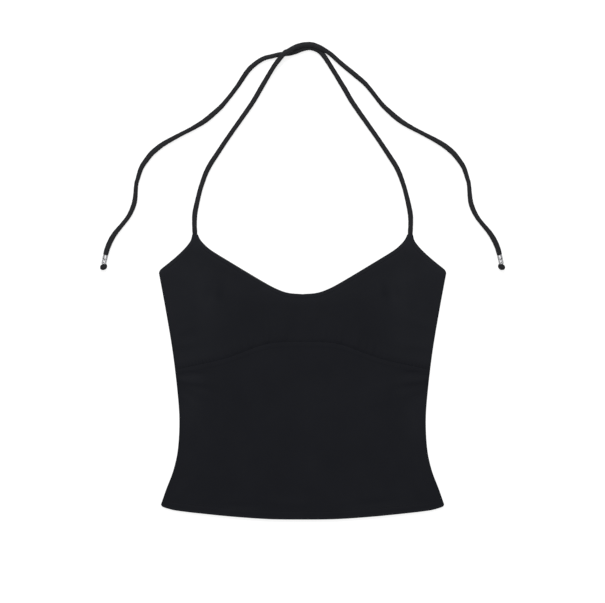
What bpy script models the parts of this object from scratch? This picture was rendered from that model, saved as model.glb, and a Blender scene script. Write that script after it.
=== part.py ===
"""Halter neck top, laid flat with its front up.

The bust panel is gathered a little onto the midriff panel along the underbust seam, the plain back
panel lies under both, and two round ties leave the bust panel's wings, cross above the neck and lie
loose beside the top, each ending in a bead and a knot.

Metres, +Z up. +X is the wearer's left and +Y runs from the hem to the neck. The back panel rests on
Z = 0, and the origin is under the middle of the box of the three panels. The panels are symmetric
about X = 0, so their tables give one half, measured outward from the middle.
"""

import math
from collections import namedtuple

import bmesh
import bpy
from mathutils import Vector

# Cloth
CLOTH = 0.0012  # thickness of a panel's wall
SEAM_GAP = 0.0003  # between pieces that meet
FRONT_LEVEL = CLOTH + SEAM_GAP  # the front's underside, where it lies on the back

# Outline, one half: the side seam's distance from the middle at each height
Side = namedtuple("Side", "up half_width")
SIDE_SEAM = [
    Side(up=-0.181, half_width=0.1872),
    Side(up=-0.162, half_width=0.1800),
    Side(up=-0.144, half_width=0.1737),
    Side(up=-0.119, half_width=0.1643),
    Side(up=-0.093, half_width=0.1586),
    Side(up=-0.055, half_width=0.1566),
    Side(up=-0.017, half_width=0.1592),
    Side(up=0.034, half_width=0.1654),
    Side(up=0.085, half_width=0.1739),
    Side(up=0.132, half_width=0.1826),
]

# Edges, one half, from the middle outward
Edge = namedtuple("Edge", "across up")
HEM = [
    Edge(across=0.000, up=-0.1810),
    Edge(across=0.039, up=-0.1806),
    Edge(across=0.080, up=-0.1781),
    Edge(across=0.120, up=-0.1744),
    Edge(across=0.161, up=-0.1697),
    Edge(across=0.172, up=-0.1670),
    Edge(across=0.1785, up=-0.1644),
    Edge(across=0.1803, up=-0.1615),
]
UNDERBUST = [
    Edge(across=0.000, up=0.0448),
    Edge(across=0.034, up=0.0438),
    Edge(across=0.055, up=0.0393),
    Edge(across=0.082, up=0.0292),
    Edge(across=0.103, up=0.0222),
    Edge(across=0.130, up=0.0161),
    Edge(across=0.162, up=0.0092),
]
NECKLINE = [
    Edge(across=0.0000, up=0.1052),
    Edge(across=0.0185, up=0.1069),
    Edge(across=0.0340, up=0.1124),
    Edge(across=0.0520, up=0.1221),
    Edge(across=0.0920, up=0.1461),
    Edge(across=0.1160, up=0.1610),
    Edge(across=0.1260, up=0.1697),
    Edge(across=0.1305, up=0.1755),
    Edge(across=0.1330, up=0.1810),
]
ARMHOLE = [
    Edge(across=0.1402, up=0.1810),
    Edge(across=0.1426, up=0.1728),
    Edge(across=0.1500, up=0.1632),
    Edge(across=0.1604, up=0.1532),
    Edge(across=0.1712, up=0.1440),
    Edge(across=0.1803, up=0.1365),
    Edge(across=0.1826, up=0.1320),
]
BACK_TOP_MIDDLE = 0.088  # the back's top edge is a shallow scoop between the side seams

# Fullness left in the front where it is laid down
CUP_RISE = 0.0030
CUP_ACROSS, CUP_UP = 0.082, 0.082
CUP_HALF_WIDTH, CUP_HALF_HEIGHT = 0.055, 0.046
MIDRIFF_RISE = 0.0015
SIDE_FADE = 0.24  # share of the half-width over which the front comes down to its side seam
STEP_START, STEP_LENGTH = 0.004, 0.030  # past the back's edge the front settles onto the surface

# Soft gathers that run up from the underbust seam, one half
Gather = namedtuple("Gather", "across length rise")
GATHERS = [
    Gather(across=0.024, length=0.030, rise=0.0006),
    Gather(across=0.044, length=0.036, rise=0.0009),
    Gather(across=0.066, length=0.034, rise=0.0009),
    Gather(across=0.087, length=0.026, rise=0.0006),
]
GATHER_HALF_WIDTH = 0.006

# Grid of the panels
BUST_COLUMN, BUST_ROWS = 0.0058, 10
LOWER_COLUMNS, LOWER_ROWS = 17, 14
OUTLINE_STEP = 0.010

# Ties
TIE_DIAMETER = 0.0052
TIE_CLEARANCE = 0.0001  # keeps every facet of a tie on or above the surface
TIE_STEP = 2.2 * TIE_DIAMETER

# Routes of the ties. across is positive on the side of the wing that the tie leaves, and lift is how
# far the tie's underside is off the surface.
Route = namedtuple("Route", "across up lift")
INNER_RUN = [
    Route(across=0.1368, up=0.1813, lift=0),
    Route(across=0.1371, up=0.2040, lift=0),
    Route(across=0.1334, up=0.2243, lift=0),
    Route(across=0.1280, up=0.2446, lift=0),
    Route(across=0.1200, up=0.2649, lift=0),
    Route(across=0.1072, up=0.2852, lift=0),
    Route(across=0.0935, up=0.3056, lift=0),
    Route(across=0.0650, up=0.3462, lift=0),
]
OVER_ARCH = [
    Route(across=0.0529, up=0.3665, lift=0.0002),
    Route(across=0.0408, up=0.3868, lift=0.0015),
    Route(across=0.0342, up=0.3967, lift=0.0034),
    Route(across=0.0236, up=0.4097, lift=0.0057),
    Route(across=0.0185, up=0.4127, lift=0.0057),
    Route(across=0.0084, up=0.4184, lift=0.0046),
    Route(across=-0.0018, up=0.4213, lift=0.0040),
    Route(across=-0.0119, up=0.4214, lift=0.0043),
    Route(across=-0.0175, up=0.4196, lift=0.0047),
    Route(across=-0.0223, up=0.4176, lift=0.0043),
    Route(across=-0.0290, up=0.4140, lift=0.0022),
    Route(across=-0.0358, up=0.4097, lift=0.0007),
    Route(across=-0.0502, up=0.3970, lift=0.0001),
    Route(across=-0.0750, up=0.3765, lift=0),
]
UNDER_ARCH = [
    Route(across=0.0529, up=0.3665, lift=0),
    Route(across=0.0342, up=0.3970, lift=0),
    Route(across=0.0255, up=0.4096, lift=0),
    Route(across=0.0188, up=0.4153, lift=0),
    Route(across=0.0092, up=0.4181, lift=0),
    Route(across=0.0005, up=0.4167, lift=0),
    Route(across=-0.0084, up=0.4132, lift=0),
    Route(across=-0.0170, up=0.4108, lift=0),
    Route(across=-0.0280, up=0.4097, lift=0),
    Route(across=-0.0390, up=0.4072, lift=0),
    Route(across=-0.0493, up=0.4044, lift=0),
    Route(across=-0.0610, up=0.3970, lift=0),
    Route(across=-0.0707, up=0.3871, lift=0),
]
OUTER_RUN = [
    Route(across=-0.0847, up=0.3665, lift=0),
    Route(across=-0.1010, up=0.3459, lift=0),
    Route(across=-0.1133, up=0.3342, lift=0),
    Route(across=-0.1236, up=0.3257, lift=0),
    Route(across=-0.1346, up=0.3187, lift=0),
    Route(across=-0.1460, up=0.3125, lift=0),
    Route(across=-0.1602, up=0.3052, lift=0),
    Route(across=-0.1776, up=0.2954, lift=0),
    Route(across=-0.1904, up=0.2852, lift=0),
    Route(across=-0.1988, up=0.2750, lift=0),
    Route(across=-0.2051, up=0.2649, lift=0),
    Route(across=-0.2094, up=0.2515, lift=0),
    Route(across=-0.2112, up=0.2446, lift=0),
    Route(across=-0.2131, up=0.2243, lift=0),
    Route(across=-0.2161, up=0.2141, lift=0),
    Route(across=-0.2210, up=0.2040, lift=0),
    Route(across=-0.2287, up=0.1938, lift=0),
    Route(across=-0.2372, up=0.1836, lift=0),
    Route(across=-0.2435, up=0.1735, lift=0.0002),
    Route(across=-0.2478, up=0.1633, lift=0.0004),
    Route(across=-0.2500, up=0.1552, lift=0.0006),
]

# What is on the end of each tie, along a line that slants outward
END_SLANT = math.radians(12)
END_GAP = 0.0005  # from the tie's end to the bead and the knot's neck
BEAD_LENGTH = 0.0116
BEAD_RADIUS, BEAD_WAIST_RADIUS, BEAD_BORE_RADIUS = 0.0032, 0.0027, 0.0022
BEAD_PROFILE_POINTS = 8
KNOT_LENGTH, KNOT_RADIUS = 0.0086, 0.0041
KNOT_NECK_RADIUS = BEAD_BORE_RADIUS - SEAM_GAP
KNOT_FLATTENING = 0.74  # its height over its width, where it lies on the surface
KNOT_PROFILE_POINTS = 8
TURNED_STEPS = 16

# Colours, as linear values
JERSEY = (0.0130, 0.0137, 0.0168)
MIDRIFF_JERSEY = (0.0120, 0.0127, 0.0156)
TIE_JERSEY = (0.0230, 0.0230, 0.0240)
SILVER = (0.62, 0.62, 0.63)

TOP_NAME = "halter_neck_top"


def clear_scene():
    for obj in list(bpy.data.objects):
        bpy.data.objects.remove(obj, do_unlink=True)


def make_material(name, colour, roughness, metallic=0.0):
    material = bpy.data.materials.new(name)
    material.use_nodes = True
    shader = material.node_tree.nodes["Principled BSDF"]
    shader.inputs["Base Color"].default_value = (*colour, 1)
    shader.inputs["Roughness"].default_value = roughness
    shader.inputs["Metallic"].default_value = metallic
    return material


def add_object(name, data, material):
    data.materials.append(material)
    obj = bpy.data.objects.new(name, data)
    bpy.data.collections[TOP_NAME].objects.link(obj)
    return obj


def smooth_step(value):
    """0 up to 0 and 1 from 1, with level ends."""
    t = min(max(value, 0), 1)
    return t * t * (3 - 2 * t)


def value_at(rows, at):
    """The second column of the rows where the first is at, on a smooth curve held level past the ends."""
    if at <= rows[0][0]:
        return rows[0][1]
    if at >= rows[-1][0]:
        return rows[-1][1]
    last = len(rows) - 1
    i = max(k for k in range(last) if rows[k][0] <= at)

    def slope(k):
        low, high = rows[max(k - 1, 0)], rows[min(k + 1, last)]
        return (high[1] - low[1]) / (high[0] - low[0])

    step = rows[i + 1][0] - rows[i][0]
    t = (at - rows[i][0]) / step
    rise = rows[i + 1][1] - rows[i][1]
    start, end = slope(i) * step, slope(i + 1) * step
    return rows[i][1] + start * t + (3 * rise - 2 * start - end) * t**2 + (start + end - 2 * rise) * t**3


def line_through(points, step):
    """Points about a step apart on a smooth curve through these, both ends included."""
    points = [Vector(p) for p in points]
    ends = [2 * points[0] - points[1], *points, 2 * points[-1] - points[-2]]
    fine = [points[0]]
    for before, start, end, after in zip(ends, ends[1:], ends[2:], ends[3:]):
        for k in range(1, 17):
            t = k / 16
            bend = 2 * before - 5 * start + 4 * end - after
            twist = 3 * start - before - 3 * end + after
            fine.append(0.5 * (2 * start + (end - before) * t + bend * t**2 + twist * t**3))
    reached = [0.0]
    for start, end in zip(fine, fine[1:]):
        reached.append(reached[-1] + (end - start).length)
    count = max(1, round(reached[-1] / step))
    line, i = [], 0
    for k in range(count + 1):
        along = reached[-1] * k / count
        while i < len(fine) - 2 and reached[i + 1] < along:
            i += 1
        line.append(fine[i].lerp(fine[i + 1], (along - reached[i]) / (reached[i + 1] - reached[i])))
    return line


def half_width(up):
    return value_at(SIDE_SEAM, up)


def back_top(across):
    share = abs(across) / SIDE_SEAM[-1].half_width
    return BACK_TOP_MIDDLE + (SIDE_SEAM[-1].up - BACK_TOP_MIDDLE) * share**2


def point_on_column(share, edge):
    """Where the line that keeps this share of the half-width all the way up meets an edge."""
    across = share * half_width(0)
    for _ in range(8):
        up = value_at(edge, across)
        across = share * half_width(up)
    return Vector((across, up))


def front_underside(across, up):
    """Height of the front's underside: it lies on the back, and past the back's edge on the surface."""
    past_back = up - back_top(across)
    level = FRONT_LEVEL * (1 - smooth_step((past_back - STEP_START) / STEP_LENGTH))
    share = across / half_width(up)
    cup_out = (across - CUP_ACROSS) / CUP_HALF_WIDTH
    cup_up = (up - CUP_UP) / CUP_HALF_HEIGHT
    fullness = CUP_RISE * math.exp(-(cup_out**2) - cup_up**2) + MIDRIFF_RISE * (1 - share**2) * (
        1 - smooth_step(past_back / STEP_LENGTH)
    )
    return level + fullness * smooth_step((1 - share) / SIDE_FADE)


def gather_rise(across, up):
    above_seam = up - value_at(UNDERBUST, across)
    return sum(
        g.rise
        * math.exp(-(((across - g.across) / GATHER_HALF_WIDTH) ** 2))
        * (1 - smooth_step(above_seam / g.length))
        for g in GATHERS
    )


def cloth_panel(name, columns, material):
    """A panel from the columns of its half, each a list of points from its lower edge up."""
    bm = bmesh.new()
    grid = [[bm.verts.new(point) for point in column] for column in columns]
    for inner, outer in zip(grid, grid[1:]):
        for k in range(len(inner) - 1):
            bm.faces.new((inner[k], outer[k], outer[k + 1], inner[k + 1]))
    mesh = bpy.data.meshes.new(name)
    bm.to_mesh(mesh)
    bm.free()
    mesh.shade_smooth()
    panel = add_object(name, mesh, material)
    mirror = panel.modifiers.new("other_half", "MIRROR")
    mirror.merge_threshold = 0.0001
    wall = panel.modifiers.new("wall", "SOLIDIFY")
    wall.thickness = CLOTH
    wall.offset = 1
    return panel


def make_front_bust(material):
    """Each column hangs from a point of the top edge, down to the underbust seam."""
    neckline = line_through([(*edge, 0) for edge in NECKLINE], BUST_COLUMN)
    armhole = line_through([(*edge, 0) for edge in ARMHOLE], BUST_COLUMN)
    columns = []
    for top in neckline + armhole:
        share = top.x / half_width(top.y)
        low = point_on_column(share, UNDERBUST).y + SEAM_GAP / 2
        column = []
        for k in range(BUST_ROWS + 1):
            up = low + (top.y - low) * k / BUST_ROWS
            across = share * half_width(up)
            column.append((across, up, front_underside(across, up) + gather_rise(across, up)))
        columns.append(column)
    return cloth_panel("front_bust", columns, material)


def make_front_lower(material):
    columns = []
    for i in range(LOWER_COLUMNS + 1):
        share = i / LOWER_COLUMNS
        low = point_on_column(share, HEM).y
        high = point_on_column(share, UNDERBUST).y - SEAM_GAP / 2
        column = []
        for k in range(LOWER_ROWS + 1):
            up = low + (high - low) * k / LOWER_ROWS
            across = share * half_width(up)
            column.append((across, up, front_underside(across, up)))
        columns.append(column)
    return cloth_panel("front_lower", columns, material)


def make_back(material):
    """A flat wall: hem, side seam and scooped top edge as one outline."""
    hem = [point_on_column(i / LOWER_COLUMNS, HEM) for i in range(LOWER_COLUMNS + 1)]
    corner, top = hem[-1].y, SIDE_SEAM[-1].up
    side_steps = round((top - corner) / OUTLINE_STEP)
    heights = [corner + (top - corner) * k / side_steps for k in range(1, side_steps)]
    side = [Vector((half_width(up), up)) for up in heights]
    scoop_steps = round(SIDE_SEAM[-1].half_width / OUTLINE_STEP)
    acrosses = [SIDE_SEAM[-1].half_width * (1 - k / scoop_steps) for k in range(scoop_steps + 1)]
    scoop = [Vector((across, back_top(across))) for across in acrosses]
    right = hem + side + scoop
    left = [Vector((-point.x, point.y)) for point in reversed(right[1:-1])]

    curve = bpy.data.curves.new("back", "CURVE")
    curve.dimensions = "2D"
    curve.fill_mode = "BOTH"
    curve.extrude = CLOTH / 2
    outline = curve.splines.new("POLY")
    outline.points.add(len(right + left) - 1)
    for place, point in zip(outline.points, right + left):
        place.co = (point.x, point.y, 0, 1)
    outline.use_cyclic_u = True
    back = add_object("back", curve, material)
    back.location.z = CLOTH / 2
    return back


def tie_route(side, arch):
    """The tie's centre line, from the wing on this side (-1 left, 1 right) to its end on the other."""
    rows = INNER_RUN + arch + OUTER_RUN
    rest = TIE_DIAMETER / 2 + TIE_CLEARANCE
    return [Vector((side * r.across, r.up, rest + r.lift)) for r in rows]


def make_tie(name, route, material):
    curve = bpy.data.curves.new(name, "CURVE")
    curve.dimensions = "3D"
    curve.bevel_depth = TIE_DIAMETER / 2
    curve.bevel_resolution = 2
    curve.use_fill_caps = True
    line = line_through(route, TIE_STEP)
    spline = curve.splines.new("POLY")
    spline.points.add(len(line) - 1)
    for place, point in zip(spline.points, line):
        place.co = (*point, 1)
    return add_object(name, curve, material)


def turned(name, profile, place, along, material):
    """A profile of (radius, distance) turned about a line, with the piece's own Y axis pointing up."""
    bm = bmesh.new()
    points = [bm.verts.new((radius, 0, distance)) for radius, distance in profile]
    ends = points[1:] if profile[0][0] == 0 else points[1:] + points[:1]
    for start, end in zip(points, ends):
        bm.edges.new((start, end))
    mesh = bpy.data.meshes.new(name)
    bm.to_mesh(mesh)
    bm.free()
    obj = add_object(name, mesh, material)
    obj.location = place
    obj.rotation_euler = along.to_track_quat("Z", "Y").to_euler()
    screw = obj.modifiers.new("turn", "SCREW")
    screw.steps = screw.render_steps = TURNED_STEPS
    screw.use_merge_vertices = True
    screw.merge_threshold = 0.00001
    screw.use_smooth_shade = True
    return obj


def bead_profile():
    """Two round lobes with a waist between them, outside, and a straight bore."""
    outer = []
    for k in range(BEAD_PROFILE_POINTS + 1):
        share = 1 - k / BEAD_PROFILE_POINTS
        lobe = math.sin(2 * math.pi * share) ** 2
        outer.append((BEAD_WAIST_RADIUS + (BEAD_RADIUS - BEAD_WAIST_RADIUS) * lobe, share * BEAD_LENGTH))
    return outer + [(BEAD_BORE_RADIUS, 0), (BEAD_BORE_RADIUS, BEAD_LENGTH)]


def knot_profile():
    """A rounded knot past the bead, and the neck of the tie's end that comes to it through the bore."""
    middle = BEAD_LENGTH + SEAM_GAP + KNOT_LENGTH / 2
    neck_turn = math.acos(-math.sqrt(1 - (KNOT_NECK_RADIUS / KNOT_RADIUS) ** 2))
    profile = [(0, middle + KNOT_LENGTH / 2)]
    for k in range(1, KNOT_PROFILE_POINTS + 1):
        turn = neck_turn * k / KNOT_PROFILE_POINTS
        profile.append((KNOT_RADIUS * math.sin(turn), middle + KNOT_LENGTH / 2 * math.cos(turn)))
    return profile + [(KNOT_NECK_RADIUS, 0), (0, 0)]


def make_tie_end(suffix, route, side, tie_material, silver):
    """The bead and the knot beyond the tie's end, which lies on this side."""
    along = Vector((side * math.sin(END_SLANT), -math.cos(END_SLANT), 0))
    place = route[-1] + along * END_GAP
    turned(f"bead_{suffix}", bead_profile(), place, along, silver)
    knot = turned(f"knot_{suffix}", knot_profile(), place, along, tie_material)
    knot.scale.y = KNOT_FLATTENING


def main():
    clear_scene()
    bpy.context.scene.collection.children.link(bpy.data.collections.new(TOP_NAME))

    make_front_bust(make_material("bust_jersey", JERSEY, 0.75))
    make_front_lower(make_material("midriff_jersey", MIDRIFF_JERSEY, 0.78))
    make_back(make_material("back_jersey", JERSEY, 0.78))

    over = tie_route(-1, OVER_ARCH)
    under = tie_route(1, UNDER_ARCH)
    make_tie("strap_left", over, make_material("strap_left_jersey", TIE_JERSEY, 0.7))
    make_tie("strap_right", under, make_material("strap_right_jersey", TIE_JERSEY, 0.7))

    for suffix, route, side in (("right", over, 1), ("left", under, -1)):
        knot_jersey = make_material(f"knot_{suffix}_jersey", TIE_JERSEY, 0.7)
        silver = make_material(f"bead_{suffix}_silver", SILVER, 0.25, metallic=1.0)
        make_tie_end(suffix, route, side, knot_jersey, silver)


main()
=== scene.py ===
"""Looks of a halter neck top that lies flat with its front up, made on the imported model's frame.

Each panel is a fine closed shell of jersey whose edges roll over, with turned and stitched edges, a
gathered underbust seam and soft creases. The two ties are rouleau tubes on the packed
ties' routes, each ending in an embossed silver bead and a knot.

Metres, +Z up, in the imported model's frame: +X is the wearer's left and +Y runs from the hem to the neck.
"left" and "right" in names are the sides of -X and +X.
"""

import math
from collections import namedtuple

import bpy
import numpy as np
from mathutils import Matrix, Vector, kdtree


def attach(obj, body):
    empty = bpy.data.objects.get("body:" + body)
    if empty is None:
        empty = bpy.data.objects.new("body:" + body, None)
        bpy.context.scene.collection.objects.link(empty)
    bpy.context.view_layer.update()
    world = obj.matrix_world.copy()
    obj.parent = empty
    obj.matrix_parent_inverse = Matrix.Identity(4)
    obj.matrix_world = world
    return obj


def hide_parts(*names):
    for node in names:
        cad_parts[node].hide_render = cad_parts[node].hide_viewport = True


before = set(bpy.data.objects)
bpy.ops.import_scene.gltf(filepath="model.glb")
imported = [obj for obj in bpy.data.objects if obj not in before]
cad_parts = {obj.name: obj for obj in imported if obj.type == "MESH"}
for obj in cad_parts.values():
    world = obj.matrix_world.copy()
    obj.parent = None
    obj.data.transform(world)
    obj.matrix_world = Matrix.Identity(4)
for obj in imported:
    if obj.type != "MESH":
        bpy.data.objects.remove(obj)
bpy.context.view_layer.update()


def table(columns, *rows):
    """Rows with named columns. A row that is short ends in zeros."""
    names = columns.split()
    row = namedtuple("Row", names, defaults=[0] * len(names))
    return [row(*values) for values in rows]


# View and stage
IMAGE_WIDTH_SEEN = 0.7688  # metres of the surface across the picture
VIEW_ACROSS, VIEW_UP = -0.0001, 0.0958  # the middle of the picture
LENS, SENSOR = 85, 36
FLOOR_LEVEL = -0.0003
FLOOR_SIZE = 6.0
FLOOR_GREY, FLOOR_GLOW = 0.40, 0.62  # partly self-lit, so that it shows as white
STUDIO_GLOW = 0.45
LIGHTS = table(  # a large soft box straight above, and a weaker one beyond the neck
    "name place size power",
    ("overhead_box", (0.0, 0.10, 3.0), 1.7, 44),
    ("far_box", (-0.25, 1.9, 1.9), 1.1, 40),
)
LIT_PLACE = (0, 0.05, 0)

# Cloth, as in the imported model
CLOTH = 0.0012
SEAM_GAP = 0.0003
FRONT_LEVEL = CLOTH + SEAM_GAP

SIDE_SEAM = table(
    "up half_width",
    (-0.181, 0.1872),
    (-0.162, 0.1800),
    (-0.144, 0.1737),
    (-0.119, 0.1643),
    (-0.093, 0.1586),
    (-0.055, 0.1566),
    (-0.017, 0.1592),
    (0.034, 0.1654),
    (0.085, 0.1739),
    (0.132, 0.1826),
)
HEM = table(  # heights of the edges, from the middle outward
    "across up",
    (0.000, -0.1810),
    (0.039, -0.1806),
    (0.080, -0.1781),
    (0.120, -0.1744),
    (0.161, -0.1697),
    (0.172, -0.1670),
    (0.1785, -0.1644),
    (0.1803, -0.1615),
)
UNDERBUST = table(
    "across up",
    (0.000, 0.0448),
    (0.034, 0.0438),
    (0.055, 0.0393),
    (0.082, 0.0292),
    (0.103, 0.0222),
    (0.130, 0.0161),
    (0.162, 0.0092),
)
NECKLINE = table(
    "across up",
    (0.0000, 0.1052),
    (0.0185, 0.1069),
    (0.0340, 0.1124),
    (0.0520, 0.1221),
    (0.0920, 0.1461),
    (0.1160, 0.1610),
    (0.1260, 0.1697),
    (0.1305, 0.1755),
    (0.1330, 0.1810),
)
ARMHOLE = table(
    "across up",
    (0.1402, 0.1810),
    (0.1426, 0.1728),
    (0.1500, 0.1632),
    (0.1604, 0.1532),
    (0.1712, 0.1440),
    (0.1803, 0.1365),
    (0.1826, 0.1320),
)
UNDERARM = ARMHOLE[-1]
TIP_ACROSS, TIP_UP = (NECKLINE[-1].across + ARMHOLE[0].across) / 2, NECKLINE[-1].up
BACK_TOP_MIDDLE = 0.088

# Fullness left in the front where it is laid down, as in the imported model
CUP_RISE = 0.0030
CUP_ACROSS, CUP_UP = 0.082, 0.082
CUP_HALF_WIDTH, CUP_HALF_HEIGHT = 0.055, 0.046
MIDRIFF_RISE = 0.0015
SIDE_FADE = 0.24
STEP_START, STEP_LENGTH = 0.004, 0.030
LEAST_RISE, LEAST_SOFTNESS = -0.0002, 0.0002  # how far a crease may press the front below its level
CREASE_SIDE_FADE = 0.03  # share of the half-width over which creases die out at the side seam

# Creases: a ridge where rise is positive and a trough where it is negative. turn is its direction in
# degrees from +X. It is down to a third at half its length from the middle, and at its width from the crest.
BUST_CREASES = table(
    "across up turn length width rise",
    # dimples at the outer side of each cup, and the pull beside them
    (-0.1130, 0.1060, 76, 0.032, 0.0105, -0.0021),
    (-0.0960, 0.1120, 68, 0.046, 0.0090, 0.0007),
    (-0.1310, 0.1010, 80, 0.050, 0.0090, 0.0007),
    (0.1120, 0.1080, 102, 0.030, 0.0100, -0.0020),
    (0.0975, 0.1105, 110, 0.042, 0.0080, 0.0007),
    (0.1310, 0.0985, 98, 0.054, 0.0090, 0.0008),
    # from the wings down into the cups
    (-0.1290, 0.1480, 58, 0.044, 0.0050, 0.0005),
    (-0.1405, 0.1440, 112, 0.034, 0.0045, 0.0004),
    (0.1315, 0.1465, 118, 0.050, 0.0052, 0.0005),
    (0.1430, 0.1460, 70, 0.030, 0.0045, 0.0003),
    # beside the neckline, and the slack between the cups
    (-0.0510, 0.1135, 24, 0.022, 0.0035, -0.0005),
    (-0.0700, 0.1180, 34, 0.036, 0.0060, 0.0004),
    (0.0590, 0.1160, 152, 0.026, 0.0040, -0.0004),
    (-0.0060, 0.0760, 86, 0.040, 0.0080, -0.0006),
    (0.0160, 0.0720, 94, 0.034, 0.0070, 0.0004),
    (-0.0270, 0.0790, 78, 0.030, 0.0070, 0.0003),
    # from the side seams towards the cups
    (-0.1500, 0.0600, 22, 0.044, 0.0060, 0.0006),
    (-0.1460, 0.0420, 12, 0.036, 0.0055, 0.0005),
    (0.1510, 0.0680, 160, 0.040, 0.0060, 0.0005),
    (0.1450, 0.0390, 170, 0.042, 0.0055, 0.0006),
)
MIDRIFF_CREASES = table(
    "across up turn length width rise",
    # the pull across the waist, from each side seam
    (-0.1500, 0.0025, 3, 0.040, 0.0030, -0.0016),
    (-0.1460, -0.0050, -8, 0.046, 0.0055, 0.0016),
    (-0.1420, -0.0160, -22, 0.050, 0.0060, 0.0008),
    (-0.1480, -0.0280, -38, 0.034, 0.0060, 0.0005),
    (-0.1445, -0.0560, 76, 0.066, 0.0095, 0.0009),
    (-0.1220, -0.0700, 60, 0.070, 0.0100, -0.0005),
    (0.1500, 0.0030, 176, 0.036, 0.0030, -0.0015),
    (0.1460, -0.0045, 187, 0.044, 0.0055, 0.0015),
    (0.1430, -0.0170, 200, 0.044, 0.0060, 0.0007),
    (0.1480, -0.0330, 140, 0.040, 0.0060, 0.0004),
    (0.1440, -0.0620, 102, 0.058, 0.0090, 0.0008),
    (0.1200, -0.0760, 122, 0.064, 0.0100, -0.0005),
    # long soft folds down the middle, none quite upright
    (-0.0880, -0.0150, 80, 0.090, 0.0120, 0.0006),
    (-0.0560, -0.0850, 97, 0.120, 0.0140, 0.0008),
    (-0.0160, -0.0350, 86, 0.110, 0.0130, -0.0006),
    (0.0210, -0.1020, 84, 0.130, 0.0140, 0.0007),
    (0.0630, -0.0300, 98, 0.100, 0.0130, 0.0006),
    (0.0900, -0.1050, 101, 0.084, 0.0110, -0.0006),
    (-0.1020, -0.1180, 74, 0.076, 0.0110, 0.0006),
    # slack above the hem
    (-0.0790, -0.1640, 4, 0.046, 0.0050, -0.0006),
    (-0.0140, -0.1600, 176, 0.060, 0.0060, 0.0004),
    (0.0900, -0.1610, 6, 0.050, 0.0050, -0.0005),
    (-0.1480, -0.1400, 48, 0.046, 0.0065, 0.0006),
    (0.1500, -0.1420, 130, 0.052, 0.0065, 0.0006),
)
BACK_CREASES = table(  # hollows in the face that lies on the surface
    "across up turn length width rise",
    (-0.1200, 0.0300, 34, 0.110, 0.0070, 0.0006),
    (-0.0550, -0.0500, 82, 0.150, 0.0090, 0.0006),
    (0.0180, 0.0350, 96, 0.080, 0.0080, 0.0005),
    (0.0780, -0.0850, 101, 0.120, 0.0090, 0.0006),
    (0.1260, -0.0050, 160, 0.070, 0.0060, 0.0005),
    (-0.1340, -0.0700, -24, 0.056, 0.0060, 0.0005),
    (-0.0300, -0.1430, 8, 0.090, 0.0060, 0.0004),
    (0.1100, 0.0700, 48, 0.060, 0.0060, 0.0004),
)

# Gathers that run up from the underbust seam. lean is how far the crest moves towards +X on its way.
GATHERS = table(
    "across length width rise lean",
    (-0.1040, 0.016, 0.0030, 0.0003, -0.002),
    (-0.0945, 0.022, 0.0034, 0.0005, -0.003),
    (-0.0850, 0.030, 0.0040, 0.0008, -0.003),
    (-0.0745, 0.024, 0.0034, 0.0006, -0.002),
    (-0.0650, 0.037, 0.0042, 0.0010, -0.002),
    (-0.0555, 0.022, 0.0030, 0.0005, -0.001),
    (-0.0450, 0.039, 0.0044, 0.0010, -0.001),
    (-0.0352, 0.020, 0.0028, 0.0004, 0.001),
    (-0.0245, 0.032, 0.0040, 0.0008, 0.001),
    (-0.0140, 0.016, 0.0030, 0.0004, 0.002),
    (0.0165, 0.022, 0.0034, 0.0005, -0.001),
    (0.0262, 0.035, 0.0042, 0.0009, 0.001),
    (0.0368, 0.019, 0.0028, 0.0004, 0.001),
    (0.0462, 0.034, 0.0042, 0.0010, 0.002),
    (0.0572, 0.026, 0.0034, 0.0005, 0.001),
    (0.0672, 0.039, 0.0042, 0.0010, 0.003),
    (0.0775, 0.021, 0.0032, 0.0006, 0.002),
    (0.0868, 0.031, 0.0040, 0.0008, 0.003),
    (0.0960, 0.020, 0.0032, 0.0004, 0.002),
    (0.1065, 0.014, 0.0030, 0.0003, 0.001),
)
GATHER_AT_SEAM, GATHER_START = 0.50, 0.0045  # this share of its rise at the seam, and all from here up

# Edges. A panel's two faces meet along its borders; level is where, from its underside 0 to its top 1,
# and roll is how far in the faces start to close. A turned edge is double cloth as far as its stitches.
ROLL, BORDER_BLEND = 0.0006, 0.00002
SEAM_ROLL, SEAM_RIM_LEVEL = 0.0048, 0.73
SIDE_ROLL, FRONT_SIDE_LEVEL, BACK_SIDE_LEVEL = 0.0026, 0.04, 0.96
TURNED_EXTRA, TURNED_FADE = 0.0003, 0.0022
NECK_TURN, ARMHOLE_TURN, HEM_TURN, BACK_TOP_TURN = 0.0056, 0.0056, 0.0105, 0.0060
STITCH_INSIDE = 0.0006  # from the end of the turn to its stitches
STITCH_DENT, STITCH_DENT_WIDTH = 0.00020, 0.0008
BACK_DENT = 0.00032  # deeper, so that the stitches under the back stay above the surface
SEAM_ALLOWANCE, ALLOWANCE_RISE, ALLOWANCE_FADE = 0.0064, 0.00018, 0.0030
TIP_SWELL, TIP_ROLL, TIP_REACH = 0.0022, 0.0030, 0.020
PUCKER_PITCH = 0.0042
Wave = namedtuple("Wave", "strength length phase", defaults=[0])
PUCKER_WANDER = [Wave(1.9, 0.0137), Wave(1.2, 0.0311, 1)]
PUCKER_STRENGTH, PUCKER_CHANGE, PUCKER_DRIFT = 0.55, Wave(0.45, 0.0236), Wave(2, 0.051)
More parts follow.
